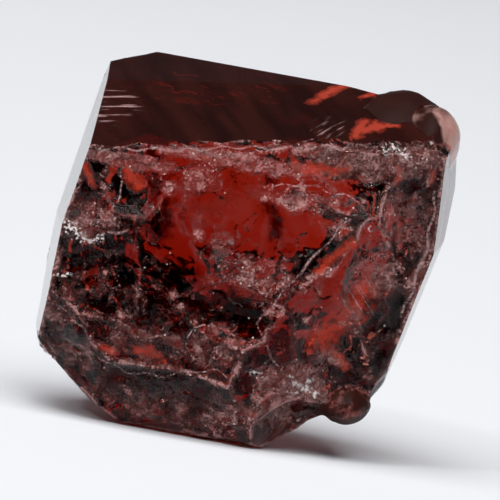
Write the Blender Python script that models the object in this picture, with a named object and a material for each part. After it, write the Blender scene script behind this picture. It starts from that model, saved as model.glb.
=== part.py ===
"""A rough garnet crystal, broken from a larger one: one solid stone, standing on its flat base.

Flat glassy faces are cut from a block, shells are flaked out of its broken sides, chips are knocked off the
long front edge, and the broken sides are roughened. All of it is worked out in millimetres, with X to the
right, Y to the back and Z up, and is brought to metres at the end.
"""

import random
from math import cos, radians, sin

import bmesh
import bpy
from mathutils import Matrix, Vector, noise
from mathutils.bvhtree import BVHTree

MM = 0.001

# ---- the block the faces are cut from, and where its middle is ----
WIDTH, DEPTH, HEIGHT = 8.9, 7.3, 9.6
BLOCK_CENTRE = Vector((-0.95, 2.6, 3.2))

# ---- flat faces: a point on each, the way it faces round Z (0 is the front, 90 the right, 180 the back),
# and how far it looks up, in degrees ----
GLASSY_FACES = {
    "top": ((-1.83, 0.30, 4.89), -19, 57.6),
    "top_bevel": ((-3.40, 2.23, 5.72), -33, 72),
    "left_upper": ((-3.89, 0.40, 4.48), -86, 9.5),
    "left_lower": ((-4.14, 0.50, 2.60), -86, 1.5),
    "right": ((2.27, 0.80, 4.60), 82, 0),
    "right_lower": ((2.30, 1.60, 3.40), 84, -12),
    "back": ((-1.05, 4.63, 2.57), 171, 11),
    "back_right": ((2.06, 2.63, 3.62), 131, -11),
    "back_left": ((-3.72, 3.94, 2.79), -143, 1),
    "back_top": ((-1.97, 2.99, 6.34), 153, 46),
}
BROKEN_FACES = {
    "front_middle": ((-0.50, 0.00, 1.90), -3, 6),
    "front_left": ((-2.30, 0.06, 3.20), -13, 3),
    "front_right": ((-0.50, 0.00, 1.90), 25, -13.2),
    "front_low": ((-1.50, 0.05, 1.07), -5, -38),
    "front_low_left": ((-3.55, 0.42, 1.40), -32, -26),
    "left_foot": ((-4.28, 2.20, 1.10), -88, -38),
    "left_under": ((-3.30, 1.00, 0.36), -86, -56),
    "right_foot": ((1.86, 1.60, 1.30), 72, -24),
    "right_under": ((0.02, 0.60, -0.05), 88, -57),
    "front_under": ((-1.40, 0.93, -0.06), -2, -62),
    "back_low": ((-2.10, 5.35, 2.92), -163, -40),
    "back_low_right": ((0.83, 2.56, 1.54), 145, -36),
    "shoulder_right": ((2.10, 1.60, 6.16), 62, 42),
    "corner_back_left": ((-3.75, 3.55, 5.76), -132, 42),
}
BASE = ((0.0, 0.0, -0.13), 0, -90)

# ---- rounded lobes left standing proud of the flat faces: the middle of each, the way its flat side faces,
# its width and height across, and how thick it is ----
LOBES = {
    "shoulder": ((1.42, 1.55, 5.70), (10, 64), 1.90, 2.00, 1.20),
    "pale_lobe": ((1.97, 1.25, 5.64), (80, 10), 1.60, 1.32, 0.98),
    "foot": ((1.22, 1.52, 0.84), (10, -12), 0.94, 0.86, 1.26),
    "left_heel": ((-3.62, 1.30, 1.16), (-90, 0), 1.20, 0.90, 1.26),
}

# ---- shells flaked out: the middle of each, the way it faces, its width and height across, how deep it
# goes, and how far it is turned, in degrees ----
SCARS = {
    "front_window": ((-1.35, 0.25, 3.75), (-3, 7), 2.2, 2.8, 0.12, 8),
    "front_bowl": ((-0.95, 0.10, 2.43), (-6, -12), 1.5, 1.0, 0.13, -20),
    "front_shell": ((-1.20, 0.00, 1.55), (0, -12), 1.4, 1.2, 0.13, 15),
    "front_slope": ((0.45, 0.30, 2.50), (30, -20), 1.1, 2.6, 0.12, 35),
    "right_panel": ((1.28, 0.62, 3.00), (34, -10), 1.1, 2.3, 0.12, 20),
    "right_recess": ((1.66, 0.60, 4.20), (40, -8), 0.9, 1.8, 0.14, 24),
    "left_notch": ((-3.60, 0.33, 3.45), (-22, 16), 1.1, 0.9, 0.12, 0),
    "left_cell": ((-2.76, 0.36, 4.19), (-16, -4), 0.9, 0.9, 0.08, 20),
    "left_hollow": ((-3.05, 0.22, 2.55), (-16, 2), 1.8, 1.9, 0.13, -15),
    "low_left": ((-2.90, 0.13, 1.50), (-16, -20), 1.5, 0.9, 0.10, -12),
    "low_middle": ((-2.05, 0.03, 1.44), (-2, -18), 1.2, 0.9, 0.09, 5),
    "upper_right": ((0.20, 0.28, 4.70), (4, 10), 2.2, 1.1, 0.09, -6),
    "middle_right": ((-0.10, 0.16, 3.65), (8, 6), 1.3, 1.6, 0.09, 20),
    "underside": ((0.50, 1.05, 0.62), (40, -48), 1.2, 0.9, 0.08, 0),
    "back_dish": ((-1.80, 4.90, 3.60), (172, 4), 2.6, 2.2, 0.16, 0),
    "back_shell": ((-0.20, 4.60, 1.90), (160, -18), 2.2, 1.8, 0.16, 30),
    "left_flake": ((-4.20, 3.60, 1.60), (-100, -12), 1.6, 1.2, 0.12, 20),
}
SCATTERED_SCARS = 120
SCAR_SIZES = (0.5, 1.5)
SCAR_CURVE = (1.6, 3.6)
SCAR_TILT = 14

# ---- the knocked long edge between the top face and the front ----
EDGE_LEFT = Vector((-3.80, 0.39, 4.62))
EDGE_RIGHT = Vector((2.00, 0.30, 5.62))
EDGE_CHIPS = 26
CHIP_SIZES = (0.10, 0.30)

# ---- roughness of the broken sides ----
GRAIN = 0.22
LUMPS = ((1.1, 0.08), (0.42, 0.06))
SEED = 4

RED = "7A1512"


def facing(azimuth, elevation):
    """The direction that looks this far round from the front and this far up."""
    a, e = radians(azimuth), radians(elevation)
    return Vector((sin(a) * cos(e), -cos(a) * cos(e), sin(e)))


def turned_to(direction, roll=0.0):
    """A rotation that brings Z to the direction, with the local Y as near to upright as it can be."""
    side = Vector((0, 0, 1)).cross(direction)
    side = side.normalized() if side.length > 1e-3 else Vector((1, 0, 0))
    upright = direction.cross(side)
    frame = Matrix((side, upright, direction)).transposed()
    return frame.to_4x4() @ Matrix.Rotation(radians(roll), 4, "Z")


def cut_flat(mesh, point, normal):
    """Take everything beyond one plane off the stone and close the cut."""
    everything = mesh.verts[:] + mesh.edges[:] + mesh.faces[:]
    cut = bmesh.ops.bisect_plane(
        mesh, geom=everything, dist=1e-5, plane_co=point, plane_no=normal, clear_outer=True
    )
    rim = [item for item in cut["geom_cut"] if isinstance(item, bmesh.types.BMEdge)]
    if rim:
        bmesh.ops.contextual_create(mesh, geom=rim)


def cut_block():
    """The block with every flat and broken face cut, as a mesh in millimetres."""
    mesh = bmesh.new()
    bmesh.ops.create_cube(mesh, size=1.0)
    bmesh.ops.scale(mesh, vec=(WIDTH, DEPTH, HEIGHT), verts=mesh.verts)
    bmesh.ops.translate(mesh, vec=BLOCK_CENTRE, verts=mesh.verts)
    for point, azimuth, elevation in [*GLASSY_FACES.values(), *BROKEN_FACES.values(), BASE]:
        cut_flat(mesh, Vector(point), facing(azimuth, elevation))
    bmesh.ops.recalc_face_normals(mesh, faces=mesh.faces)
    return mesh


def shell_cutter(mesh, middle, direction, width, height, depth, roll, smoothness=3):
    """A ball squashed so that it takes a shallow dish of this width, height and depth out of a face.

    A low smoothness gives a cut of a few flat facets, as where glass chips, and a high one a smooth shell.
    """
    across = (width + height) / 4
    sink = depth / across
    radius = (1 + sink * sink) / (2 * sink)
    ball = bmesh.ops.create_icosphere(mesh, subdivisions=smoothness, radius=radius)["verts"]
    place = (
        Matrix.Translation(middle)
        @ turned_to(direction, roll)
        @ Matrix.Diagonal((width / 2, height / 2, across, 1))
        @ Matrix.Translation((0, 0, radius - sink))
    )
    bmesh.ops.transform(mesh, matrix=place, verts=ball)


def linear(hex_colour):
    """An sRGB colour such as 7A1512 as the linear values that a shader takes."""
    parts = [int(hex_colour[i:i + 2], 16) / 255 for i in (0, 2, 4)]
    return [c / 12.92 if c <= 0.04045 else ((c + 0.055) / 1.055) ** 2.4 for c in parts] + [1.0]


def garnet():
    """Clear deep red garnet: it bends light strongly and its fresh faces are glossy."""
    material = bpy.data.materials.new("garnet")
    material.use_nodes = True
    shader = material.node_tree.nodes["Principled BSDF"]
    shader.inputs["Base Color"].default_value = linear(RED)
    shader.inputs["Roughness"].default_value = 0.12
    shader.inputs["Metallic"].default_value = 0.0
    shader.inputs["IOR"].default_value = 1.76
    shader.inputs["Transmission Weight"].default_value = 1.0
    return material


def make_object(name, mesh, collection):
    data = bpy.data.meshes.new(name)
    mesh.to_mesh(data)
    mesh.free()
    made = bpy.data.objects.new(name, data)
    collection.objects.link(made)
    return made


def carve(stone, cutter, operation="DIFFERENCE"):
    """Take the cutter out of the stone, or join it on, and keep the result as the stone's own mesh."""
    step = stone.modifiers.new(cutter.name, "BOOLEAN")
    step.operation = operation
    step.solver = "EXACT"
    step.object = cutter
    carved = bpy.data.meshes.new_from_object(stone.evaluated_get(bpy.context.evaluated_depsgraph_get()))
    stone.modifiers.remove(step)
    stone.data = carved


def add_lobe(mesh, middle, direction, width, height, thickness):
    ball = bmesh.ops.create_icosphere(mesh, subdivisions=2, radius=0.5)["verts"]
    size = Matrix.Diagonal((width, height, thickness, 1))
    bmesh.ops.transform(mesh, matrix=Matrix.Translation(middle) @ turned_to(direction) @ size, verts=ball)


def scattered_scars(stone, rng):
    """Small tilted dishes all over the broken faces, as (middle, direction, width, height, depth, roll)."""
    tree = BVHTree.FromObject(stone, bpy.context.evaluated_depsgraph_get())
    glassy = [(Vector(place), facing(*direction)) for place, *direction in GLASSY_FACES.values()]
    scars = []
    for _ in range(SCATTERED_SCARS):
        outward = Vector([rng.gauss(0, 1) for _ in range(3)]).normalized()
        aim = BLOCK_CENTRE + Vector([rng.uniform(-2, 2) for _ in range(3)])
        size = rng.uniform(*SCAR_SIZES)
        tilt = Vector([rng.uniform(-1, 1) * radians(SCAR_TILT) for _ in range(3)])
        depth = size * size / (8 * rng.uniform(*SCAR_CURVE))
        across, roll = size * rng.uniform(0.6, 1), rng.uniform(0, 180)
        point, normal, _, _ = tree.ray_cast(aim + outward * 12, -outward)
        if point is None or point.z < 0.1 or min(abs((point - p).dot(n)) for p, n in glassy) < size * 0.42:
            continue
        scars.append((point, (normal + tilt).normalized(), size, across, depth, roll, 1))
    return scars


def edge_chips(rng):
    """Small chips along the front edge, larger ones to its left of middle, as (middle, direction, size)."""
    outward = facing(-10, 32)
    chips = []
    for i in range(EDGE_CHIPS):
        along = (i + rng.uniform(0.1, 0.9)) / EDGE_CHIPS
        size = rng.uniform(*CHIP_SIZES) * (1.5 if 0.28 < along < 0.62 else 1.0)
        tilt = Vector((rng.uniform(-0.5, 0.5), rng.uniform(-0.2, 0.2), rng.uniform(-0.5, 0.5)))
        middle, roll = EDGE_LEFT.lerp(EDGE_RIGHT, along), rng.uniform(-30, 30)
        chips.append((middle, (outward + tilt).normalized(), size * 2, size, size * 0.45, roll))
    return chips


def carve_scars(stone, scars):
    """Take each shell or chip out of the stone in turn."""
    for scar in scars:
        cutter_mesh = bmesh.new()
        shell_cutter(cutter_mesh, *scar)
        cutter = make_object("scar", cutter_mesh, cutters)
        carve(stone, cutter)
        bpy.data.objects.remove(cutter, do_unlink=True)


def flat_faces_at(point):
    """The directions of the glassy faces, and of the base, that this point lies on."""
    planes = [*GLASSY_FACES.values(), BASE]
    directions = [(Vector(place), facing(azimuth, elevation)) for place, azimuth, elevation in planes]
    return [normal for place, normal in directions if abs((point - place).dot(normal)) < 2e-3]


def is_glassy(face):
    shared = set.intersection(*({tuple(n) for n in flat_faces_at(v.co)} for v in face.verts))
    return bool(shared)


def thin_out(stone, share):
    """Keep this share of the triangles, dropping those that say least about the shape first."""
    step = stone.modifiers.new("thin_out", "DECIMATE")
    step.ratio = share
    thinned = bpy.data.meshes.new_from_object(stone.evaluated_get(bpy.context.evaluated_depsgraph_get()))
    stone.modifiers.remove(step)
    stone.data = thinned


def refine(mesh):
    """Split the broken sides into triangles of about one grain, leaving the glassy faces whole."""
    bmesh.ops.triangulate(mesh, faces=mesh.faces, quad_method="BEAUTY", ngon_method="BEAUTY")
    for _ in range(6):
        rough = {edge for face in mesh.faces if not is_glassy(face) for edge in face.edges}
        long = [edge for edge in mesh.edges if edge in rough and edge.calc_length() > GRAIN * 1.45]
        if not long:
            break
        bmesh.ops.subdivide_edges(mesh, edges=long, cuts=1)
        bmesh.ops.triangulate(mesh, faces=mesh.faces, quad_method="BEAUTY", ngon_method="BEAUTY")
        flat = [edge for edge in mesh.edges if edge.is_manifold and edge.calc_face_angle(0) < radians(2)]
        bmesh.ops.beautify_fill(mesh, faces=mesh.faces, edges=flat, method="ANGLE")


def roughen(mesh):
    """Shift the broken sides by smooth seeded noise. A point on a glassy face only slides along it."""
    noise.seed_set(SEED)
    for vert in mesh.verts:
        move = Vector()
        for wide, tall in LUMPS:
            move += noise.noise_vector(vert.co / wide + Vector((0, wide, 0))) * tall
        flats = flat_faces_at(vert.co)
        for normal in flats * 3:
            move -= normal * move.dot(normal)
        if len(flats) < 3:
            vert.co += move


def stand_at_origin(mesh):
    """Bring the middle of the stone's underside to the origin, and millimetres to metres."""
    low = Vector([min(vert.co[axis] for vert in mesh.verts) for axis in range(3)])
    high = Vector([max(vert.co[axis] for vert in mesh.verts) for axis in range(3)])
    middle = Vector(((low.x + high.x) / 2, (low.y + high.y) / 2, low.z))
    bmesh.ops.translate(mesh, vec=-middle, verts=mesh.verts)
    bmesh.ops.scale(mesh, vec=(MM, MM, MM), verts=mesh.verts)


for old in list(bpy.data.objects):
    bpy.data.objects.remove(old, do_unlink=True)

crystal_parts = bpy.data.collections.new("garnet_crystal")
cutters = bpy.data.collections.new("cutters")
bpy.context.scene.collection.children.link(crystal_parts)
bpy.context.scene.collection.children.link(cutters)

stone = make_object("garnet_crystal", cut_block(), crystal_parts)
rng = random.Random(SEED)
named_scars = [(Vector(middle), facing(*direction), *rest) for middle, direction, *rest in SCARS.values()]
carve_scars(stone, named_scars)
for name, (middle, direction, *size) in LOBES.items():
    lobe_mesh = bmesh.new()
    add_lobe(lobe_mesh, Vector(middle), facing(*direction), *size)
    lobe = make_object(name, lobe_mesh, cutters)
    carve(stone, lobe, "UNION")
    bpy.data.objects.remove(lobe, do_unlink=True)
carve_scars(stone, scattered_scars(stone, rng))
carve_scars(stone, edge_chips(rng))
thin_out(stone, 0.45)

rough_mesh = bmesh.new()
rough_mesh.from_mesh(stone.data)
refine(rough_mesh)
roughen(rough_mesh)
bmesh.ops.triangulate(rough_mesh, faces=rough_mesh.faces)
bmesh.ops.dissolve_degenerate(rough_mesh, dist=0.01, edges=rough_mesh.edges)
bmesh.ops.triangulate(rough_mesh, faces=rough_mesh.faces)
stand_at_origin(rough_mesh)
bmesh.ops.recalc_face_normals(rough_mesh, faces=rough_mesh.faces)
rough_mesh.to_mesh(stone.data)
rough_mesh.free()
stone.data.materials.append(garnet())
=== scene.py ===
"""A rough garnet crystal standing on a pale table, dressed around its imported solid.

Lengths are in metres, and sizes on the stone are written in millimetres times MM. X runs to the right along
the broken front, Y to the back and Z up.
"""

import bmesh
import bpy
import numpy as np
from math import atan, cos, radians, sin, tan
from mathutils import Matrix, Vector, kdtree


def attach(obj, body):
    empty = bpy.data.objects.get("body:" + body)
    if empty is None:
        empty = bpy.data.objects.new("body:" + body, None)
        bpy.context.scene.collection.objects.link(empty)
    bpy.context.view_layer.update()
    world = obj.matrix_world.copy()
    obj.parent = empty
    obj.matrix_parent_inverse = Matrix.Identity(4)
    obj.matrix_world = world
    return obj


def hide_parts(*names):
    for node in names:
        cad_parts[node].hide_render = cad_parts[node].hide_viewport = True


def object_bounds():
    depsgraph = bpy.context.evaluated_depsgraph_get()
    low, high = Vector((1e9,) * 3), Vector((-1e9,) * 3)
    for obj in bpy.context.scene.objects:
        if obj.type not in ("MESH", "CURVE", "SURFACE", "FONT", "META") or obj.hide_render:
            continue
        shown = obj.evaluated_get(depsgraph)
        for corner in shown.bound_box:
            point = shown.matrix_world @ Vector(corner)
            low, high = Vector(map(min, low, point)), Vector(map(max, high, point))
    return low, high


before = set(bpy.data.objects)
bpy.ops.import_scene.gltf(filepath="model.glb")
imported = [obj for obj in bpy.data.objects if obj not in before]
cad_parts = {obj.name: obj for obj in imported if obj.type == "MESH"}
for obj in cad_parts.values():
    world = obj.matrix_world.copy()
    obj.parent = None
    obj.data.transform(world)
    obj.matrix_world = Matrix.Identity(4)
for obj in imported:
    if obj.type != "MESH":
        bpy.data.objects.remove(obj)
cad_low, cad_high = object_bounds()

# ======================================================================================================
# The stone. One piece of pyrope-almandine garnet, split off a larger crystal. Four sorts of face meet on it:
# flat glassy ones, shells that flaked away, ragged chips along its edges, and rounded lobes with a dull skin.
# ======================================================================================================
MM = 0.001
WELD = 0.0005 * MM
FACE_TURN = radians(0.6)
FLAT_AREA = (0.35 * MM) ** 2
PLANE_SLACK = 0.002 * MM

# The broken faces are split into grains, and the flat ones into coarser grains where they are marked. An edge
# is split once it is SPLIT_OVER grains long. WHOLE is longer than any edge.
GRAIN = 0.040 * MM
MARK_GRAIN = 0.060 * MM
WHOLE = 1.0
SPLIT_OVER = 1.45
SPLIT_ROUNDS = 9

# Marked places: the middle of each and how far it reaches, in millimetres. Hackles are fine steps in a break.
LEDGES = ((-2.75, -0.95, 5.36), 0.62)
BRUISE = ((1.05, -1.62, 5.72), 0.34)
# The streak and the patch are where red glows are painted on the top face.
STREAK_GLOW = ((1.15, -0.90, 6.16), 0.55)
PATCH_GLOW = ((1.90, -1.66, 5.88), 0.55)
TOP_MARKS = (LEDGES, BRUISE, STREAK_GLOW, PATCH_GLOW)
HACKLES = ((2.20, -1.75, 3.05), 0.62)

# A rim is a sharp edge between two chips. It counts from the first of these angles, and in full at the other.
RIM_ANGLES = radians(14), radians(55)
RIM_STEP = 0.04 * MM
RIM_REACH = 0.09 * MM


def flat_planes(mesh):
    """The planes of the large flat faces, as (normal, distance from the origin)."""
    flats = mesh.copy()
    bmesh.ops.dissolve_limit(flats, angle_limit=FACE_TURN, verts=flats.verts, edges=flats.edges)
    large = [face for face in flats.faces if face.calc_area() > FLAT_AREA]
    planes = [(face.normal.copy(), face.normal.dot(face.verts[0].co)) for face in large]
    flats.free()
    return planes


def on_plane(points, plane):
    """Which of the points lie on this plane."""
    normal, distance = plane
    return np.abs(points @ np.array(normal) - distance) < PLANE_SLACK


def rim_points(mesh):
    """Points along the sharp edges between chips, with how sharp each edge is, from 0 to 1."""
    found = []
    low, high = RIM_ANGLES
    for edge in mesh.edges:
        sharp = min(1.0, max(0.0, (edge.calc_face_angle(0) - low) / (high - low)))
        if sharp > 0:
            start, end = (vert.co for vert in edge.verts)
            steps = int(edge.calc_length() / RIM_STEP) + 2
            found += [(start.lerp(end, i / (steps - 1)), sharp) for i in range(steps)]
    return found


def grain_wanted(edge, planes):
    """How long this edge may be. On a flat face it may be any length, unless it lies near a mark."""
    ends = np.array([vert.co for vert in edge.verts])
    if not any(on_plane(ends, plane).all() for plane in planes):
        return GRAIN
    middle = edge.verts[0].co.lerp(edge.verts[1].co, 0.5) / MM
    away = min((middle - Vector(mark)).length - reach for mark, reach in TOP_MARKS)
    return MARK_GRAIN if away < edge.calc_length() / MM / 2 else WHOLE


def refine(mesh, planes):
    """Split every edge that is too long, and the faces beside it into triangles, until none is left."""
    for _ in range(SPLIT_ROUNDS):
        long = [edge for edge in mesh.edges if edge.calc_length() > GRAIN * SPLIT_OVER]
        long = [edge for edge in long if edge.calc_length() > grain_wanted(edge, planes) * SPLIT_OVER]
        if not long:
            break
        bmesh.ops.subdivide_edges(mesh, edges=long, cuts=1)
        bmesh.ops.triangulate(mesh, faces=mesh.faces)


solid = bmesh.new()
solid.from_mesh(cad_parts["garnet_crystal"].data)
bmesh.ops.remove_doubles(solid, verts=solid.verts, dist=WELD)
bmesh.ops.recalc_face_normals(solid, faces=solid.faces)
planes = flat_planes(solid)
rims = rim_points(solid)
refine(solid, planes)
points = np.array([vert.co for vert in solid.verts])
flat_points = np.array([on_plane(points, plane) for plane in planes])
mesh = bpy.data.meshes.new("garnet_stone")
solid.to_mesh(mesh)
solid.free()
packed_normals = mesh.attributes.get("custom_normal")
if packed_normals:
    mesh.attributes.remove(packed_normals)
stone = bpy.data.objects.new("garnet_stone", mesh)
bpy.context.scene.collection.objects.link(stone)

corners = np.array([polygon.vertices for polygon in mesh.polygons])
flat_faces = flat_points[:, corners].all(axis=2)
broken = np.ones(len(points))
broken[corners[flat_faces.any(axis=0)]] = 0

# The lobes, each with its middle and how far it reaches, in millimetres. They are worn smooth, by moving each
# point WEAR_STEP of the way to the middle of its neighbours in every round. A ball counts in full from
# 1 / BALL_RISE of its reach below its surface.
LOBES = {
    "shoulder": ((2.38, -0.90, 5.92), 1.05),
    "pale_lobe": ((2.96, -1.20, 5.80), 0.72),
    "foot": ((2.14, -0.95, 0.98), 0.62),
    "left_heel": ((-2.70, -1.14, 1.31), 0.50),
    "neck": ((2.76, -1.62, 6.02), 0.52),
}
WEAR_ROUNDS = 30
WEAR_STEP = 0.7
FOOT_WEAR = 0.6
BALL_RISE = 2.5


def in_ball(points, middle, reach):
    """1 in the middle of a ball, falling to 0 at its surface. The middle and the reach are in millimetres."""
    away = np.linalg.norm(points - np.array(middle) * MM, axis=1) / (reach * MM)
    return np.clip((1 - away) * BALL_RISE, 0, 1)


def wear_smooth(mesh, points, worn):
    """Move each worn point again and again towards the middle of its neighbours."""
    ends = np.empty(len(mesh.edges) * 2, np.int32)
    mesh.edges.foreach_get("vertices", ends)
    one, other = np.concatenate([ends[::2], ends[1::2]]), np.concatenate([ends[1::2], ends[::2]])
    count = np.bincount(one, minlength=len(points))
    for _ in range(WEAR_ROUNDS):
        middle = [np.bincount(one, points[other, axis], len(points)) / count for axis in range(3)]
        points = points + (np.stack(middle, axis=1) - points) * (worn * WEAR_STEP)[:, None]
    return points


lobe = {name: in_ball(points, middle, reach) * broken for name, (middle, reach) in LOBES.items()}
worn = np.max([values * (FOOT_WEAR if name == "foot" else 1) for name, values in lobe.items()], axis=0)
points = wear_smooth(mesh, points, worn)
mesh.vertices.foreach_set("co", points.astype(np.float32).ravel())

# Where the break crushed the surface it is frosted: the middle of each patch, its half width and half height
# in millimetres, and how strong it is. Each reaches FROST_DEPTH to the front and back of its middle. It fades
# out at FROST_REACH times its size, and is full from 1 / FROST_RISE of the way in. Behind SIDES_FROM, the
# broken sides are lightly frosted all over.
FROST = {
    "edge_left": ((-2.20, -2.05, 4.60), 0.80, 0.14, 1.6),
    "edge_middle": ((-0.30, -2.15, 4.95), 1.50, 0.16, 1.3),
    "edge_right": ((1.60, -2.10, 5.32), 1.20, 0.20, 1.4),
    "edge_corner": ((2.70, -2.20, 5.52), 0.50, 0.24, 1.3),
    "streak": ((-1.00, -2.12, 4.52), 0.34, 0.28, 1.0),
    "cloud": ((0.30, -2.38, 3.02), 0.80, 0.45, 0.7),
    "cloud_top": ((-0.40, -2.30, 3.52), 0.26, 0.26, 0.8),
    "row": ((0.92, -2.12, 4.46), 0.90, 0.20, 0.9),
    "right_cloud": ((1.88, -2.05, 5.12), 0.50, 0.16, 1.0),
    "left_notch": ((-2.69, -1.98, 3.50), 0.50, 0.42, 0.9),
    "left_hollow": ((-2.16, -1.93, 2.36), 1.10, 0.80, 0.35),
    "low_left": ((-1.50, -2.33, 1.64), 0.90, 0.50, 0.5),
    "left_foot": ((-2.60, -1.80, 1.10), 0.50, 0.45, 0.55),
    "shell": ((-0.20, -2.31, 1.69), 0.55, 0.44, 0.75),
    "heel": ((1.25, -1.78, 1.25), 0.80, 0.40, 1.2),
    "underside": ((0.70, -1.72, 0.66), 1.00, 0.40, 0.8),
    "front_foot": ((-1.04, -1.76, 0.44), 1.10, 0.40, 0.60),
    "right_panel": ((2.50, -1.85, 4.40), 0.50, 0.60, 0.95),
    "left_low": ((-3.05, -1.85, 1.90), 0.35, 0.60, 0.7),
    "hackles": ((2.30, -1.85, 3.40), 0.50, 0.60, 0.8),
    "right_side": ((3.00, -1.75, 4.00), 0.30, 1.20, 0.9),
    "right_low": ((2.65, -1.50, 2.30), 0.30, 0.80, 0.3),
    "pink_spot": ((1.89, -1.54, 1.85), 0.20, 0.24, 0.8),
}
FROST_DEPTH = 0.9
FROST_REACH = 1.35
FROST_RISE = 1.8
FROST_ELSEWHERE = 0.12
SIDES_FROM = -1.2 * MM

# Cracks that run out at the broken front, as routes of (x, z) in millimetres, and their half width.
CRACKS = {
    "diagonal": (((1.72, 4.28), (1.50, 4.05), (1.13, 3.44), (0.75, 2.83), (0.46, 2.37), (0.44, 2.19)), 0.045),
    "fork": (((0.44, 2.19), (0.60, 2.01), (0.71, 1.75), (1.03, 1.44), (1.28, 1.32)), 0.03),
    "low_arc": (
        ((-2.81, 1.34), (-2.29, 1.20), (-1.70, 0.99), (-1.11, 1.04),
         (-0.57, 1.23), (-0.11, 1.31), (0.13, 1.23)),
        0.03,
    ),
    "shell_rim": (
        ((-0.41, 1.36), (-0.72, 1.62), (-0.75, 1.78), (-0.64, 1.97),
         (-0.46, 2.09), (-0.19, 2.05), (0.33, 1.91)),
        0.03,
    ),
    "left_vein": (((-2.39, 4.47), (-2.27, 4.21), (-2.34, 3.86), (-2.61, 3.41)), 0.03),
    "left_bar": (((-2.02, 3.46), (-2.35, 3.32), (-2.55, 3.23)), 0.05),
    "left_ridge": (((-3.07, 1.89), (-2.54, 1.63), (-2.38, 1.45), (-2.23, 1.25)), 0.03),
    "right_edge": (
        ((3.06, 5.02), (3.09, 4.57), (3.09, 4.02), (3.03, 3.61), (2.96, 3.21), (2.87, 2.69)),
        0.06,
    ),
    "top_edge": (
        ((-2.86, 4.72), (-1.66, 4.90), (-1.07, 5.02), (-0.48, 5.15),
         (0.12, 5.25), (1.30, 5.49), (1.98, 5.61)),
        0.04,
    ),
    "high_row": (((0.20, 4.60), (0.75, 4.74), (1.30, 4.70), (1.75, 4.62)), 0.03),
}

# Painted highlights: silver-white marks painted where chips that lie tilted to the light would flash. Routes
# as above.
PAINTED_HIGHLIGHTS = {
    "corner_chip": (((2.12, 5.55), (2.25, 5.60), (2.45, 5.56)), 0.17),
    "corner_dot": (((2.74, 5.83), (2.85, 5.82)), 0.08),
    "left_chip": (((-3.12, 3.32), (-3.00, 3.24), (-2.87, 3.18)), 0.22),
    "left_sliver": (((-2.82, 3.18), (-2.64, 3.15), (-2.51, 3.21)), 0.12),
    "star": (((1.22, 1.34), (1.39, 1.26), (1.57, 1.14)), 0.13),
    "star_across": (((1.29, 1.13), (1.39, 1.26), (1.52, 1.36)), 0.11),
    "white_bar": (((2.07, 4.20), (2.09, 4.00)), 0.025),
    "ring": (((0.45, 1.35), (0.65, 1.39)), 0.08),
    "left_spark": (((-3.10, 2.41), (-2.94, 2.49)), 0.09),
}

# Painted glows: red light painted under the flat top face, where light thrown back inside the stone shows.
# These are 3-D routes in millimetres.
PAINTED_GLOWS = {
    "streak": (((0.71, -0.93, 6.10), (1.13, -0.57, 6.40), (1.30, -0.42, 6.52)), 0.17),
    "streak_end": (((1.55, -0.86, 6.33), (1.72, -0.78, 6.40)), 0.09),
    "patch_left": (((1.52, -1.88, 5.70), (1.66, -1.52, 5.95)), 0.17),
    "patch_middle": (((1.62, -1.76, 5.81), (1.92, -1.62, 5.94)), 0.26),
    "patch_tip": (((1.92, -1.64, 5.93), (2.20, -1.65, 5.98)), 0.10),
    "shoulder": (((2.60, -1.46, 6.26), (2.71, -1.66, 6.20)), 0.13),
    "shoulder_low": (((2.62, -1.66, 6.10), (2.70, -1.68, 6.16)), 0.08),
}

# Painted shade: dark places on the break, where little light comes back through the stone. Routes as for the
# cracks.
PAINTED_SHADES = {
    "left_column": (((-1.86, 4.72), (-1.66, 4.10), (-1.52, 3.50)), 0.44),
    "left_pit": (((-2.36, 3.75), (-1.96, 3.40)), 0.30),
    "middle_band": (((0.10, 5.02), (0.27, 4.50), (0.46, 3.80)), 0.24),
    "bowl": (((-1.25, 2.75), (-0.60, 2.50), (0.30, 2.45)), 0.55),
    "bowl_left": (((-2.00, 2.70), (-1.50, 2.20)), 0.55),
    "right_fold": (((2.50, 3.86), (2.66, 3.52), (2.78, 3.28)), 0.20),
}

# Painted red light on the broken front, where the clear stone would glow through thin flakes. Routes as for
# the cracks.
PAINTED_RED_LIGHTS = {
    "under_diagonal": (((1.30, 3.30), (1.60, 3.62), (1.80, 3.95)), 0.20),
    "low_window": (((1.55, 2.10), (1.95, 2.60), (2.20, 3.10)), 0.46),
    "pink_spot": (((1.73, 2.03), (1.88, 1.86), (2.04, 1.68)), 0.16),
    "right_top": (((2.32, 5.34), (2.40, 5.18), (2.37, 5.05)), 0.13),
    "right_corner": (((2.91, 5.45), (2.93, 5.18)), 0.12),
    "left_foot": (((-2.12, 1.38), (-1.94, 1.30)), 0.14),
    "middle_foot": (((-1.50, 1.46), (-1.14, 1.38)), 0.20),
    "left_top": (((-2.97, 4.31), (-2.82, 4.17)), 0.16),
    "left_window": (((-2.20, 4.42), (-1.98, 4.22)), 0.24),
    "salmon_chip": (((-0.97, 4.94), (-0.77, 4.83)), 0.11),
    "high_window": (((0.60, 5.02), (1.03, 5.02), (1.44, 5.10)), 0.25),
}

# The front ends at this Y. The routes on it waver by WAVER, in waves of these many radians a metre.
FRONT = -0.9 * MM
WAVER = 0.03 * MM
WAVES_UP, WAVES_ACROSS = 9000, 11000
WAVES_START = 1


def along_route(points, route, reach):
    """1 on a route of joined points, falling to 0 at reach. Route and reach are in millimetres."""
    route = np.array(route) * MM
    away = np.full(len(points), np.inf)
    for start, end in zip(route, route[1:]):
        run = end - start
        share = np.clip((points - start) @ run / (run @ run), 0, 1)
        away = np.minimum(away, np.linalg.norm(points - start - share[:, None] * run, axis=1))
    return np.clip(1 - away / (reach * MM), 0, 1)


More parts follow.
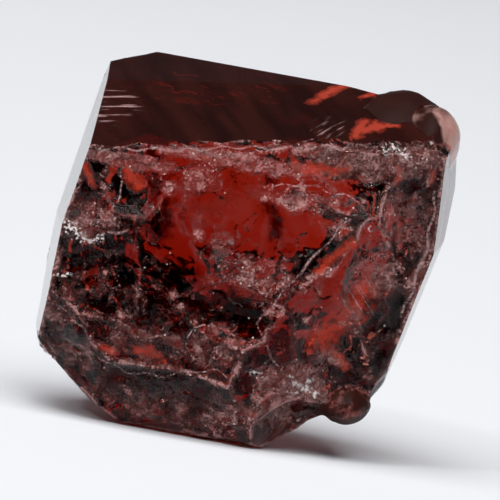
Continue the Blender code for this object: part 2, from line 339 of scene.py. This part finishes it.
def frost_at(points):
    """How frosted each point is: the strongest patch that reaches it."""
    frost = np.where(points[:, 1] > SIDES_FROM, FROST_ELSEWHERE, 0.0)
    for middle, half_width, half_height, strength in FROST.values():
        reach = np.array([half_width, FROST_DEPTH, half_height]) * MM * FROST_REACH
        away = np.linalg.norm((points - np.array(middle) * MM) / reach, axis=1)
        frost = np.maximum(frost, strength * np.clip((1 - away) * FROST_RISE, 0, 1))
    return frost


def rim_at(points, rims):
    """How near each point is to a sharp rim between chips, from 0 to 1."""
    tree = kdtree.KDTree(len(rims))
    for i, (spot, _) in enumerate(rims):
        tree.insert(spot, i)
    tree.balance()
    near = [tree.find(point) for point in points]
    return np.array([rims[i][1] * max(0.0, 1 - away / RIM_REACH) for _, i, away in near])


# What is painted on the stone's points, for the material and the relief to read. Frost may go above 1, where
# a patch is dense, and the others run from 0 to 1.
dark_lobes = np.max([lobe["shoulder"], lobe["neck"], lobe["foot"]], axis=0)
painted = {
    "broken": broken,
    "worn": worn,
    "frost": frost_at(points) * (1 - worn),
    "rim": rim_at(points, rims) * (1 - worn),
    "painted_glow": np.max([along_route(points, *painted_glow) for painted_glow in PAINTED_GLOWS.values()], axis=0),
    "skin": dark_lobes * (1 - lobe["pale_lobe"]),
    "milk": lobe["pale_lobe"],
    "ledges": in_ball(points, *LEDGES) * (1 - broken),
    "bruise": in_ball(points, *BRUISE) * (1 - broken),
    "hackles": in_ball(points, *HACKLES) * broken,
}
waves = np.sin(points[:, 2] * WAVES_UP + WAVES_START), np.sin(points[:, 0] * WAVES_ACROSS)
front = points[:, [0, 2]] + np.stack(waves, axis=1) * WAVER
on_front = (points[:, 1] < FRONT) * broken
for name, routes, most in (
    ("crack", CRACKS, 1.0),
    # painted highlights on tilted chips
    ("painted_highlight", PAINTED_HIGHLIGHTS, 0.85),
    # painted shade
    ("painted_shade", PAINTED_SHADES, 1.0),
    # painted red light
    ("painted_red_light", PAINTED_RED_LIGHTS, 1.0),
):
    nearest = np.max([along_route(front, *route) for route in routes.values()], axis=0)
    painted[name] = nearest * on_front * most
for name, values in painted.items():
    mesh.attributes.new(name, "FLOAT", "POINT").data.foreach_set("value", np.asarray(values, np.float32))

# The flat top faces tilt a little to the front. They are painted face by face, so that the edge stays sharp.
TOP_TILT = 0.7
top_faces = [i for i, (normal, _) in enumerate(planes) if normal.z > TOP_TILT and normal.y < 0]
on_top = flat_faces[top_faces].any(axis=0)
mesh.attributes.new("top_face", "FLOAT", "FACE").data.foreach_set("value", on_top.astype(np.float32))


def linear(hex_colour):
    """An sRGB colour such as 7A1512 as the linear values that a shader takes."""
    parts = [int(hex_colour[i:i + 2], 16) / 255 for i in (0, 2, 4)]
    return [c / 12.92 if c <= 0.04045 else ((c + 0.055) / 1.055) ** 2.4 for c in parts] + [1.0]


def add(tree, kind, inputs=(), **settings):
    """Add a node with its settings, set or link its inputs by number or name, and return its outputs."""
    made = tree.nodes.new(kind)
    for key, value in settings.items():
        setattr(made, key, value)
    for name, source in inputs.items() if isinstance(inputs, dict) else enumerate(inputs):
        if isinstance(source, bpy.types.NodeSocket):
            tree.links.new(source, made.inputs[name])
        else:
            made.inputs[name].default_value = source
    return made.outputs


# The garnet itself: clear, and so deep a red that a few millimetres of it pass only the red light. Its fresh
# faces are glossy. Where it is crushed or cracked, fine pale mauve dust hides the red below.
garnet = bpy.data.materials.new("clear_red_garnet")
garnet.use_nodes = True
tree = garnet.node_tree
tree.nodes.clear()
place = add(tree, "ShaderNodeTexCoord")["Object"]
value = {}
for name in (*painted, "top_face"):
    value[name] = add(tree, "ShaderNodeAttribute", attribute_name=name)["Fac"]

# Noise at the real sizes of the patches, flakes and dust: its size in millimetres, its detail, its roughness.
noise = {}
for name, size_mm, detail, rough in (
    ("patches", 0.28, 5.0, 0.65),
    ("lumps", 0.20, 4.0, 0.6),
    ("fray", 0.16, 4.0, 0.6),
    ("mottle", 0.25, 4.0, 0.6),
    ("rim_gaps", 0.25, 2.0, 0.6),
    ("crack_gaps", 0.10, 3.0, 0.6),
    ("grit", 0.06, 3.0, 0.6),
    ("splinters", 0.055, 3.0, 0.6),
    ("fine_dust", 0.032, 2.0, 0.6),
    ("coarse_dust", 0.16, 3.0, 0.6),
    ("clouds", 0.7, 3.0, 0.6),
):
    inputs = {"Vector": place, "Scale": 1 / (size_mm * MM), "Detail": detail, "Roughness": rough}
    noise[name] = add(tree, "ShaderNodeTexNoise", inputs)["Fac"]


def where(amount, guide, low, high):
    """The amount where the guide is high: none of it below low, all of it above high, and smooth between."""
    inputs = {"Value": guide, "From Min": low, "From Max": high}
    share = add(tree, "ShaderNodeMapRange", inputs, interpolation_type="SMOOTHSTEP")[0]
    return add(tree, "ShaderNodeMath", (amount, share), operation="MULTIPLY")[0]


def torn(name, noise_name, depth):
    """A painted value that noise raises and lowers by up to half this depth, so that its edge is torn."""
    centred = add(tree, "ShaderNodeMath", (noise[noise_name], 0.5), operation="SUBTRACT")[0]
    return add(tree, "ShaderNodeMath", (centred, depth, value[name]), operation="MULTIPLY_ADD")[0]


def streaks(amount, rise, long_mm, wide_mm, low, high):
    """This amount in thin lines across the stone, each rising this much per unit of X."""
    parts = add(tree, "ShaderNodeSeparateXYZ", (place,))
    lift = add(tree, "ShaderNodeMath", (parts["X"], rise), operation="MULTIPLY")[0]
    up = add(tree, "ShaderNodeMath", (parts["Z"], lift), operation="SUBTRACT")[0]
    across = add(tree, "ShaderNodeMath", (parts["X"], long_mm * MM), operation="DIVIDE")[0]
    up = add(tree, "ShaderNodeMath", (up, wide_mm * MM), operation="DIVIDE")[0]
    flow = add(tree, "ShaderNodeCombineXYZ", {"X": across, "Z": up})[0]
    lines = add(tree, "ShaderNodeTexNoise", {"Vector": flow, "Scale": 1.0, "Detail": 2.0})["Fac"]
    return where(amount, lines, low, high)


# The higher this is, the fewer of the pinpricks are bright.
FEW_BRIGHT = 1.5


def pinpricks(amount, spacing_mm, radius_mm, share):
    """This amount in tiny dots, one in the middle of each random cell, in this share of the cells."""
    cells = add(tree, "ShaderNodeTexVoronoi", {"Vector": place, "Scale": 1 / (spacing_mm * MM)})
    chance = add(tree, "ShaderNodeSeparateColor", (cells["Color"],))
    dot = add(tree, "ShaderNodeMath", (cells["Distance"], radius_mm / spacing_mm), operation="LESS_THAN")[0]
    picked = add(tree, "ShaderNodeMath", (chance["Red"], share), operation="LESS_THAN")[0]
    bright = add(tree, "ShaderNodeMath", (chance["Green"], FEW_BRIGHT), operation="POWER")[0]
    for factor in (dot, picked, bright):
        amount = add(tree, "ShaderNodeMath", (amount, factor), operation="MULTIPLY")[0]
    return amount


# What lies on or just under the surface: frost, dark and pale skin, painted red light, painted shade, painted
# glows and painted highlights on chips.
patch = where(value["broken"], torn("frost", "patches", 2.6), 0.25, 1.15)
skin = where(1.0, torn("skin", "lumps", 1.0), 0.15, 0.55)
milk = where(1.0, torn("milk", "mottle", 0.4), 0.18, 0.75)
# Painted red light, with a torn edge.
painted_red_light = where(where(1.0, torn("painted_red_light", "fray", 1.6), 0.15, 1.00), value["painted_red_light"], 0.0, 0.2)
# Painted shade, with a torn edge.
painted_shade = where(where(1.0, torn("painted_shade", "fray", 1.6), 0.10, 0.80), value["painted_shade"], 0.0, 0.3)
# Painted red glows, with a torn edge.
painted_glow = where(where(1.0, torn("painted_glow", "fray", 1.6), 0.20, 0.90), value["painted_glow"], 0.0, 0.02)
# Painted highlights on chips, with a torn edge.
painted_highlight = where(where(1.0, torn("painted_highlight", "splinters", 3.6), 0.55, 0.95), value["painted_highlight"], 0.0, 0.02)

# Crushed stone lies in the frosted patches, along the rims between chips and in the cracks. It does not lie
# on the dark skin, and there is less of it where red light is painted. Dust lies on it.
FROST_CRUSH = 0.7
RIM_CRUSH = 1.5
RED_LIGHT_CLEAN = 0.8
EXTRA_DUST = 0.16
rims = add(tree, "ShaderNodeMath", (value["rim"], value["broken"]), operation="MULTIPLY")[0]
rims = add(tree, "ShaderNodeMath", (rims, RIM_CRUSH), operation="MULTIPLY")[0]
rims = where(rims, noise["rim_gaps"], 0.36, 0.50)
cracks = where(where(1.0, value["crack"], 0.25, 0.90), noise["crack_gaps"], 0.38, 0.60)
crushed = add(tree, "ShaderNodeMath", (patch, FROST_CRUSH), operation="MULTIPLY")[0]
for other in (rims, cracks):
    crushed = add(tree, "ShaderNodeMath", (crushed, other), operation="MAXIMUM")[0]
clean = add(tree, "ShaderNodeMath", (painted_red_light, RED_LIGHT_CLEAN), operation="MULTIPLY")[0]
clean = add(tree, "ShaderNodeMath", (clean, skin), operation="MAXIMUM")[0]
clean = add(tree, "ShaderNodeMath", (1.0, clean), operation="SUBTRACT")[0]
crushed = add(tree, "ShaderNodeMath", (crushed, clean), operation="MULTIPLY")[0]
dust = add(tree, "ShaderNodeMath", (crushed, EXTRA_DUST), operation="MULTIPLY")[0]
for layer, share in ((noise["fine_dust"], 0.6), (noise["coarse_dust"], 0.4)):
    dust = add(tree, "ShaderNodeMath", (layer, share, dust), operation="MULTIPLY_ADD")[0]
specks = where(where(1.0, dust, 0.55, 0.74), crushed, 0.0, 0.15)

# Thin pale lines: ledges and a bruise on the top face, hackles on the front, and the vein of each crack.
LINE_MM = 0.05
ledges = streaks(value["ledges"], 0.17, 0.9, LINE_MM, 0.54, 0.68)
bruise = streaks(value["bruise"], 0.75, 0.30, LINE_MM, 0.54, 0.68)
hackles = streaks(value["hackles"], -1.15, 0.60, LINE_MM, 0.58, 0.70)
lines = 0.0
for marks, share in ((bruise, 0.5), (hackles, 0.5), (ledges, 1.1)):
    lines = add(tree, "ShaderNodeMath", (marks, share, lines), operation="MULTIPLY_ADD", use_clamp=True)[0]
vein = where(where(1.0, value["crack"], 0.40, 0.90), noise["grit"], 0.38, 0.54)
lines = add(tree, "ShaderNodeMath", (lines, vein), operation="MAXIMUM")[0]

# Pinpricks: pale dots of open bubbles and grit, with glints painted on them where they would catch the light.
# They lie in clouds on the broken sides, and thick where the stone is crushed.
PRICK_MM = 0.016
rough_side = add(tree, "ShaderNodeMath", (value["broken"], value["worn"]), operation="SUBTRACT")[0]
grit_and_glints = where(pinpricks(rough_side, 0.13, PRICK_MM, 0.30), noise["clouds"], 0.42, 0.60)
thick = where(pinpricks(1.0, 0.08, PRICK_MM, 0.45), crushed, 0.1, 0.5)
grit_and_glints = add(tree, "ShaderNodeMath", (grit_and_glints, thick), operation="MAXIMUM")[0]

# A dim red-brown glow is painted on the top face as a thin veil, stronger in broad bands.
TOP_GLOW, TOP_GLOW_BANDS = 0.45, 0.55
bands = streaks(1.0, -0.55, 1.2, 0.40, 0.34, 0.66)
top_painted_glow = add(tree, "ShaderNodeMath", (bands, TOP_GLOW_BANDS, TOP_GLOW), operation="MULTIPLY_ADD")[0]
top_painted_glow = add(tree, "ShaderNodeMath", (value["top_face"], top_painted_glow), operation="MULTIPLY")[0]

# Each coat lies over the ones before it: its mask, its colour, how much of the clear stone it hides, and how
# soon it tints the light that still passes.
colour, hidden = (1, 1, 1, 1), 0.0
for mask, hex_colour, cover, tint in (
    # painted shade: a dark tint on the light that passes
    (painted_shade, "2A0E0B", 0.00, 1.0),
    # painted red light
    (painted_red_light, "DC4C38", 0.38, 4.0),
    # painted dim glow on the top face
    (top_painted_glow, "4C2019", 0.36, 12.0),
    # painted red glows
    (painted_glow, "BE4634", 0.62, 12.0),
    (skin, "34150F", 0.52, 12.0),
    (milk, "D2A096", 0.65, 4.0),
    (crushed, "BE6A60", 0.20, 5.0),
    (specks, "DCA6A2", 0.44, 3.0),
    (lines, "D8AEAC", 0.50, 3.0),
    # pale grit, with painted glints
    (grit_and_glints, "E8D0C8", 0.85, 4.0),
    # painted highlights on chips
    (painted_highlight, "DCD2D0", 0.85, 4.0),
):
    share = add(tree, "ShaderNodeMath", (mask, tint), operation="MULTIPLY", use_clamp=True)[0]
    inputs = {"Factor": share, "A": colour, "B": linear(hex_colour)}
    colour = add(tree, "ShaderNodeMix", inputs, data_type="RGBA")["Result"]
    covered = add(tree, "ShaderNodeMath", (mask, cover), operation="MULTIPLY")[0]
    hidden = add(tree, "ShaderNodeMath", (hidden, covered), operation="MAXIMUM")[0]

# Fresh faces are polished by the break, and frost and skin are dull. The grit stands up a little, most where
# the stone is crushed. Garnet of this kind has an index of about 1.76. Its specular tint is low because what
# shines on it is a soft lamp that would grey the red.
POLISH, DULL, SKIN_DULL = 0.02, 0.36, 1.5
GRIT_HEIGHT = 0.012 * MM
BROKEN_GRIT, CRUSHED_GRIT = 0.10, 0.45
dull = add(tree, "ShaderNodeMath", (skin, SKIN_DULL), operation="MULTIPLY")[0]
dull = add(tree, "ShaderNodeMath", (dull, patch), operation="MAXIMUM")[0]
roughness = add(tree, "ShaderNodeMath", (dull, DULL, POLISH), operation="MULTIPLY_ADD")[0]
bumpy = add(tree, "ShaderNodeMath", (value["broken"], BROKEN_GRIT), operation="MULTIPLY")[0]
bumpy = add(tree, "ShaderNodeMath", (crushed, CRUSHED_GRIT, bumpy), operation="MULTIPLY_ADD")[0]
bump = {"Strength": bumpy, "Distance": GRIT_HEIGHT, "Height": noise["grit"]}
shader = {
    "Base Color": colour,
    "Roughness": roughness,
    "IOR": 1.76,
    "Transmission Weight": add(tree, "ShaderNodeMath", (1.0, hidden), operation="SUBTRACT")[0],
    "Specular Tint": (0.07, 0.07, 0.07, 1),
    "Normal": add(tree, "ShaderNodeBump", bump)[0],
}
surface = add(tree, "ShaderNodeBsdfPrincipled", shader)[0]
volume = add(tree, "ShaderNodeVolumeAbsorption", {"Color": (0.76, 0.22, 0.05, 1), "Density": 1500.0})[0]
add(tree, "ShaderNodeOutputMaterial", {"Surface": surface, "Volume": volume})


def broken_relief():
    """A tree that breaks the rough sides into small tilted chips, and leaves the flat faces alone.

    Each chip is a random cell that leans its own way. Two sizes of chip are laid over each other. Frosted
    places stand up the most, and worn ones the least.
    """
    tree = bpy.data.node_groups.new("broken_relief", "GeometryNodeTree")
    sockets = tree.interface
    sockets.new_socket("Geometry", in_out="INPUT", socket_type="NodeSocketGeometry")
    for name, value in (
        ("Chip Size mm", 0.42),
        ("Chip Tilt", 0.40),
        ("Fine Chip Size mm", 0.15),
        ("Fine Chip Tilt", 0.28),
        ("Wavers per mm", 3.0),
        ("Waver mm", 0.22),
        ("Seed", 3.0),
    ):
        sockets.new_socket(name, in_out="INPUT", socket_type="NodeSocketFloat").default_value = value
    sockets.new_socket("Geometry", in_out="OUTPUT", socket_type="NodeSocketGeometry")
    given = add(tree, "NodeGroupInput")
    frost, worn, broken = (
        add(tree, "GeometryNodeInputNamedAttribute", {"Name": name}, data_type="FLOAT")[0]
        for name in ("frost", "worn", "broken")
    )

    spot = add(tree, "GeometryNodeInputPosition")[0]
    spot = add(tree, "ShaderNodeVectorMath", {0: spot, "Scale": 1 / MM}, operation="SCALE")[0]
    inputs = {"Vector": spot, "Scale": given["Wavers per mm"], "Detail": 2.0}
    waver = add(tree, "ShaderNodeTexNoise", inputs)["Color"]
    waver = add(tree, "ShaderNodeVectorMath", {0: waver, "Scale": given["Waver mm"]}, operation="SCALE")[0]
    for shift in (waver, given["Seed"]):
        spot = add(tree, "ShaderNodeVectorMath", (spot, shift), operation="ADD")[0]
    height = 0.0
    for size, tilt in (("Chip Size mm", "Chip Tilt"), ("Fine Chip Size mm", "Fine Chip Tilt")):
        count = add(tree, "ShaderNodeMath", (1.0, given[size]), operation="DIVIDE")[0]
        cells = add(tree, "ShaderNodeTexVoronoi", {"Vector": spot, "Scale": count})
        lean = add(tree, "ShaderNodeVectorMath", (cells["Color"], (0.5, 0.5, 0.5)), operation="SUBTRACT")[0]
        inside = add(tree, "ShaderNodeVectorMath", (spot, cells["Position"]), operation="SUBTRACT")[0]
        slope = add(tree, "ShaderNodeVectorMath", (inside, lean), operation="DOT_PRODUCT")["Value"]
        height = add(tree, "ShaderNodeMath", (slope, given[tilt], height), operation="MULTIPLY_ADD")[0]
    frosted = add(tree, "ShaderNodeMapRange", {"Value": frost, "To Min": 0.25, "To Max": 0.8})[0]
    sharp = add(tree, "ShaderNodeMapRange", {"Value": worn, "To Min": 1.0, "To Max": 0.15})[0]
    for factor in (broken, frosted, sharp, MM):
        height = add(tree, "ShaderNodeMath", (height, factor), operation="MULTIPLY")[0]

    normal = add(tree, "GeometryNodeInputNormal")[0]
    offset = add(tree, "ShaderNodeVectorMath", {0: normal, "Scale": height}, operation="SCALE")[0]
    moved = add(tree, "GeometryNodeSetPosition", {"Geometry": given["Geometry"], "Offset": offset})[0]
    single = add(tree, "GeometryNodeRealizeInstances", {"Geometry": moved})[0]
    finished = add(tree, "GeometryNodeSetMaterial", {"Geometry": single, "Material": garnet})[0]
    add(tree, "NodeGroupOutput", {"Geometry": finished})
    return tree


# The relief is made into a plain mesh. Its sharp edges stay sharp, and so does every edge of a flat face.
SHARP_EDGE = radians(28)
relief = stone.modifiers.new("broken_relief", "NODES")
relief.node_group = broken_relief()
finished = bpy.data.meshes.new_from_object(stone.evaluated_get(bpy.context.evaluated_depsgraph_get()))
stone.modifiers.remove(relief)
stone.data = finished
finished.set_sharp_from_angle(angle=SHARP_EDGE)
for polygon, is_flat in zip(finished.polygons, flat_faces.any(axis=0)):
    polygon.use_smooth = not is_flat
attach(stone, "root")
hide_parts("garnet_crystal")

# ======================================================================================================
# The table: a plain sheet of white card under the stone, wide enough to fill the view. It lies a hair below
# the foot, so that the two faces don't fight.
# ======================================================================================================
TABLE_WIDTH = 2.0
TABLE_GAP = 0.002 * MM
table_mesh = bpy.data.meshes.new("table")
sheet = bmesh.new()
bmesh.ops.create_grid(sheet, x_segments=1, y_segments=1, size=TABLE_WIDTH / 2)
bmesh.ops.translate(sheet, vec=(0, 0, cad_low.z - TABLE_GAP), verts=sheet.verts)
sheet.to_mesh(table_mesh)
sheet.free()
table = bpy.data.objects.new("table", table_mesh)
bpy.context.scene.collection.objects.link(table)

# White card: matt, with a faint blue cast.
card = bpy.data.materials.new("white_card")
card.use_nodes = True
card.node_tree.nodes.clear()
matt = add(card.node_tree, "ShaderNodeBsdfPrincipled", {"Base Color": linear("E9EBEF"), "Roughness": 0.8})[0]
add(card.node_tree, "ShaderNodeOutputMaterial", {"Surface": matt})
table_mesh.materials.append(card)

# ======================================================================================================
# The camera: a long lens a little above the table, turned so that the stone leans. One known point, the
# stone's foot, is kept at one place in the frame of 500 by 500 pixels.
# ======================================================================================================
FRAME_PIXELS = 500
PIXELS_PER_MM = 58.0
FRAME_WIDTH = FRAME_PIXELS / PIXELS_PER_MM * MM
ELEVATION = radians(5)
ROLL = radians(10)
LENS, SENSOR = 500.0, 36.0
FOOT_PIXEL = Vector((265, 448))
FOOT_POINT = Vector((0.927, -2.437, 0.156)) * MM
VIEW_NEAR, VIEW_FAR = 1 * MM, 2.0

back = Vector((0, -cos(ELEVATION), sin(ELEVATION)))
across = Vector((1, 0, 0))
upward = back.cross(across)
right = across * cos(ROLL) + upward * sin(ROLL)
top = upward * cos(ROLL) - across * sin(ROLL)
to_centre = Vector((FRAME_PIXELS / 2, FRAME_PIXELS / 2)) - FOOT_PIXEL
centre = FOOT_POINT + (right * to_centre.x - top * to_centre.y) / PIXELS_PER_MM * MM
distance = FRAME_WIDTH / 2 / tan(atan(SENSOR / 2 / LENS))
camera_data = bpy.data.cameras.new("camera")
camera_data.lens = LENS
camera_data.sensor_width = SENSOR
camera_data.clip_start = VIEW_NEAR
camera_data.clip_end = VIEW_FAR
camera = bpy.data.objects.new("camera", camera_data)
bpy.context.scene.collection.objects.link(camera)
turned = Matrix((right, top, back)).transposed().to_4x4()
camera.matrix_world = Matrix.Translation(centre + back * distance) @ turned
bpy.context.scene.camera = camera

# ======================================================================================================
# The light: a pale wall behind the stone that darkens upwards, a dim room in front, one large softbox over
# the stone and one small lamp for a glint.
# ======================================================================================================
# The wall's colours by height, and how light rises from ROOM in front to 1 behind, by the Y of a direction.
ROOM = 0.05
WALL_FROM, WALL_TO = -0.2, 0.5
WALL = (
    (0.0, (0.83, 0.87, 0.90, 1)),
    (0.40, (0.025, 0.025, 0.028, 1)),
    (0.85, (0.085, 0.085, 0.09, 1)),
)
world = bpy.data.worlds.new("studio")
world.use_nodes = True
bpy.context.scene.world = world
tree = world.node_tree
tree.nodes.clear()
direction = add(tree, "ShaderNodeTexCoord")["Generated"]
parts = add(tree, "ShaderNodeSeparateXYZ", (direction,))
wall = add(tree, "ShaderNodeValToRGB", (parts["Z"],))["Color"]
ramp = wall.node.color_ramp.elements
while len(ramp) > 1:
    ramp.remove(ramp[0])
ramp[0].position, ramp[0].color = WALL[0]
for height, grey in WALL[1:]:
    ramp.new(height).color = grey
inputs = {"Value": parts["Y"], "From Min": WALL_FROM, "From Max": WALL_TO, "To Min": ROOM}
facing = add(tree, "ShaderNodeMapRange", inputs)[0]
sky = add(tree, "ShaderNodeBackground", {"Color": wall, "Strength": facing})[0]
add(tree, "ShaderNodeOutputWorld", {"Surface": sky})


def toward(turn, rise):
    """The direction that lies this far round from the front and this far up, in degrees."""
    turn, rise = radians(turn), radians(rise)
    return Vector((sin(turn) * cos(rise), -cos(turn) * cos(rise), sin(rise)))


for name, where_from, power, size in (
    ("softbox", toward(-10, 62) * 1.0, 15.5, 1.0),
    ("glint", toward(-35, 35) * 0.5, 0.30, 0.04),
):
    lamp = bpy.data.lights.new(name, "AREA")
    lamp.energy = power
    lamp.size = size
    light = bpy.data.objects.new(name, lamp)
    bpy.context.scene.collection.objects.link(light)
    turned = where_from.to_track_quat("Z", "Y").to_matrix().to_4x4()
    light.matrix_world = Matrix.Translation(where_from) @ turned

bpy.context.scene.view_settings.view_transform = "Standard"
